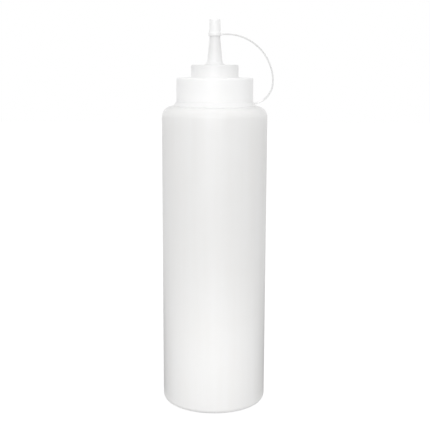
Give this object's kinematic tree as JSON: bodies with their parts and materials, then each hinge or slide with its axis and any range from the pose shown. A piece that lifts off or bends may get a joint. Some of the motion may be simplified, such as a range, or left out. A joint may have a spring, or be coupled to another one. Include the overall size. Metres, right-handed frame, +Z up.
{
  "type": "squeeze bottle",
  "caption": "Tall round translucent plastic sauce bottle with a stepped screw cap, tapering nozzle and a small tip cap on a thin bowed strap; stands on its base",
  "frame": {"origin": "on the bottle's axis, on the plane that the standing ring of the base rests on", "axes": "+Z up along the bottle's axis; the strap bows out towards +X; Y is across the strap"},
  "size_m": [0.0823, 0.078, 0.2882],
  "materials": {
    "bottle_plastic": "translucent natural polyethylene, soft satin sheen, faint flow streaks",
    "cap_plastic": "milky white polyethylene, satin",
    "tip_plastic": "milky white soft polyethylene, satin"
  },
  "bodies": {
    "root": {"bottle": "bottle_plastic", "nozzle_cap": "cap_plastic", "tip_cap": "tip_plastic"}
  },
  "joints": []
}
